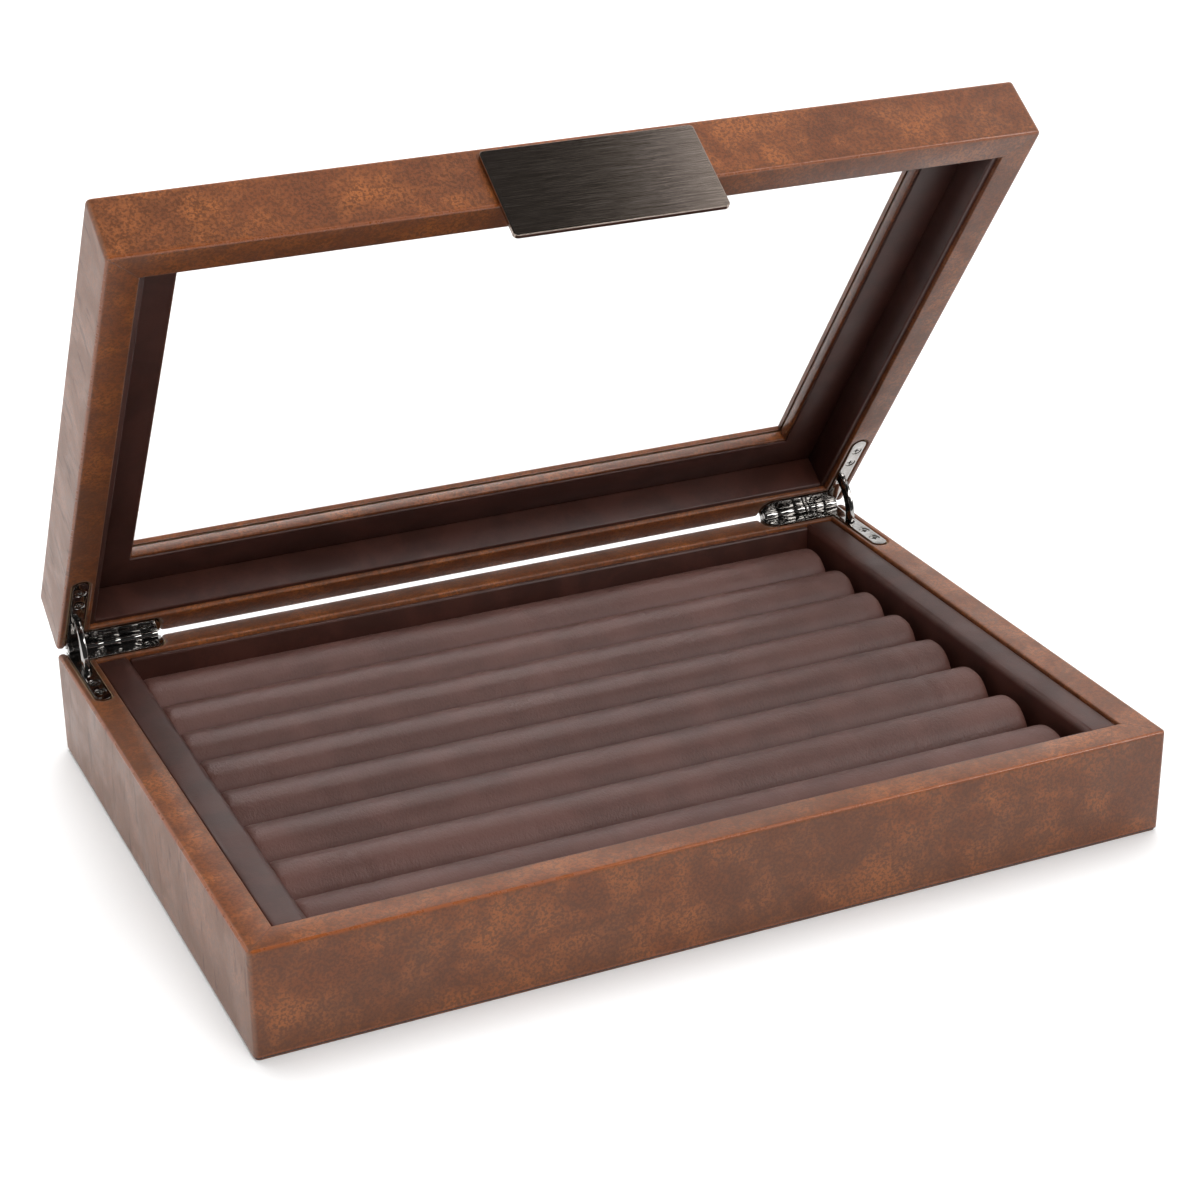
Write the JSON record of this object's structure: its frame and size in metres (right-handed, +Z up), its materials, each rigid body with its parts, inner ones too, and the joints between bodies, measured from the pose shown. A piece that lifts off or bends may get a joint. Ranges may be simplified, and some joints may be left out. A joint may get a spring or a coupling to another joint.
{
  "type": "cufflink box",
  "caption": "Leather-covered box with a hinged glass-topped lid, pull plate and padded rolls that hold cufflinks.",
  "frame": {"origin": "centre of the base's underside", "axes": "+X to the right along the hinge line, +Y to the hinged back, +Z up; stored with the lid open 55.3 degrees"},
  "size_m": [0.2926, 0.2177, 0.2122],
  "materials": {
    "core_board": "raw fibreboard",
    "tan_leather": "semi-gloss tan leather",
    "dark_leather": "satin dark brown leather",
    "roll_padding": "soft dark brown cover over foam",
    "hinge_metal": "polished black nickel",
    "plate_metal": "brushed gunmetal",
    "pane": "clear float glass",
    "adhesive": "matt foam tape"
  },
  "bodies": {
    "base": {"base_board_front": "core_board", "base_board_back": "core_board", "base_board_left": "core_board", "base_board_right": "core_board", "base_covering": "tan_leather", "bottom_board": "core_board", "under_cover": "tan_leather", "insert_floor": "dark_leather", "insert_block_left": "dark_leather", "insert_block_right": "dark_leather", "insert_lining_front": "dark_leather", "insert_lining_back": "dark_leather", "roll_1": "roll_padding", "roll_2": "roll_padding", "roll_3": "roll_padding", "roll_4": "roll_padding", "roll_5": "roll_padding", "roll_6": "roll_padding", "roll_7": "roll_padding", "roll_8": "roll_padding", "base_hinge_leaf_left": "hinge_metal", "base_hinge_leaf_right": "hinge_metal", "hinge_pins": "hinge_metal", "base_hinge_screws": "hinge_metal"},
    "lid": {"lid_board_front": "core_board", "lid_board_back": "core_board", "lid_board_left": "core_board", "lid_board_right": "core_board", "lid_top_board_front": "core_board", "lid_top_board_back": "core_board", "lid_top_board_left": "core_board", "lid_top_board_right": "core_board", "lid_covering": "tan_leather", "glazing_bead_front": "tan_leather", "glazing_bead_back": "tan_leather", "glazing_bead_left": "tan_leather", "glazing_bead_right": "tan_leather", "lid_glass": "pane", "lid_under_lining": "dark_leather", "lid_lining_front": "dark_leather", "lid_lining_back": "dark_leather", "lid_lining_left": "dark_leather", "lid_lining_right": "dark_leather", "pull_plate": "plate_metal", "pull_plate_pad": "adhesive", "lid_hinge_leaf_left": "hinge_metal", "lid_hinge_leaf_right": "hinge_metal", "lid_hinge_screws": "hinge_metal"},
    "stay_left": {"stay_left": "hinge_metal"},
    "stay_right": {"stay_right": "hinge_metal"}
  },
  "joints": [
    {"name": "lid_hinge", "type": "hinge", "parent": "base", "child": "lid", "pos_m": [0, 0.0999, 0.0353], "axis": [-1, 0, 0], "range_deg": [-55.3, 39.7]},
    {"name": "stay_left_swing", "type": "hinge", "parent": "base", "child": "stay_left", "pos_m": [-0.1407, 0.0999, 0.0353], "axis": [-1, 0, 0], "range_deg": [-27.65, 19.85]},
    {"name": "stay_right_swing", "type": "hinge", "parent": "base", "child": "stay_right", "pos_m": [0.1407, 0.0999, 0.0353], "axis": [-1, 0, 0], "range_deg": [-27.65, 19.85]}
  ],
  "couplings": [
    {"joint": "stay_left_swing", "follows": "lid_hinge", "ratio": 0.5},
    {"joint": "stay_right_swing", "follows": "lid_hinge", "ratio": 0.5}
  ]
}
